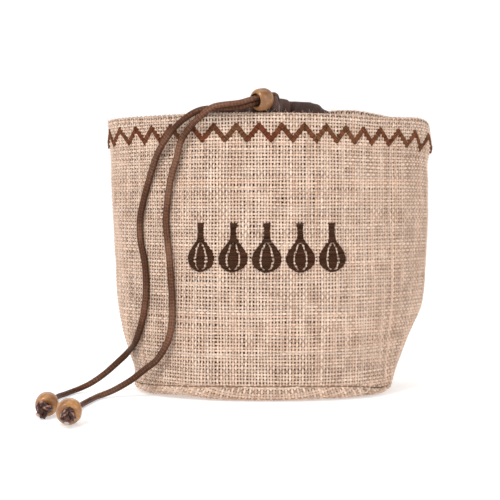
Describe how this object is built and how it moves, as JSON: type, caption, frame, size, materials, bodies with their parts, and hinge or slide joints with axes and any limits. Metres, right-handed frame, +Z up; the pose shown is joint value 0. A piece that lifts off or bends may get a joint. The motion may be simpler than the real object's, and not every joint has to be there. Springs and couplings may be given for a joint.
{
  "type": "garlic storage bag",
  "caption": "Upright drawstring bag of coarse woven cloth on a rounded base, with a zigzag hem, a dark gathered lining mouth and two cords that run through a wooden toggle to beaded knots.",
  "frame": {"origin": "on the floor under the middle of the bag, measured without the cords and what is on them", "axes": "+Z up, +X along the bag's wide way to the right of its front, +Y to the back"},
  "size_m": [0.2106, 0.1939, 0.1652],
  "materials": {
    "jute": "coarse plain weave",
    "embroidery": "satin stitch",
    "lining": "plain cotton",
    "cord": "round braided cord, lightly waxed",
    "wood": "turned and lacquered"
  },
  "bodies": {
    "root": {"front_panel": "jute", "back_panel": "jute", "base_panel": "jute", "zigzag_stitch": "embroidery", "lining_collar": "lining", "toggle_bead": "wood", "cord_strand_a": "cord", "cord_strand_b": "cord", "end_bead_a": "wood", "end_bead_b": "wood", "end_knot_a": "cord", "end_knot_b": "cord"}
  },
  "joints": []
}
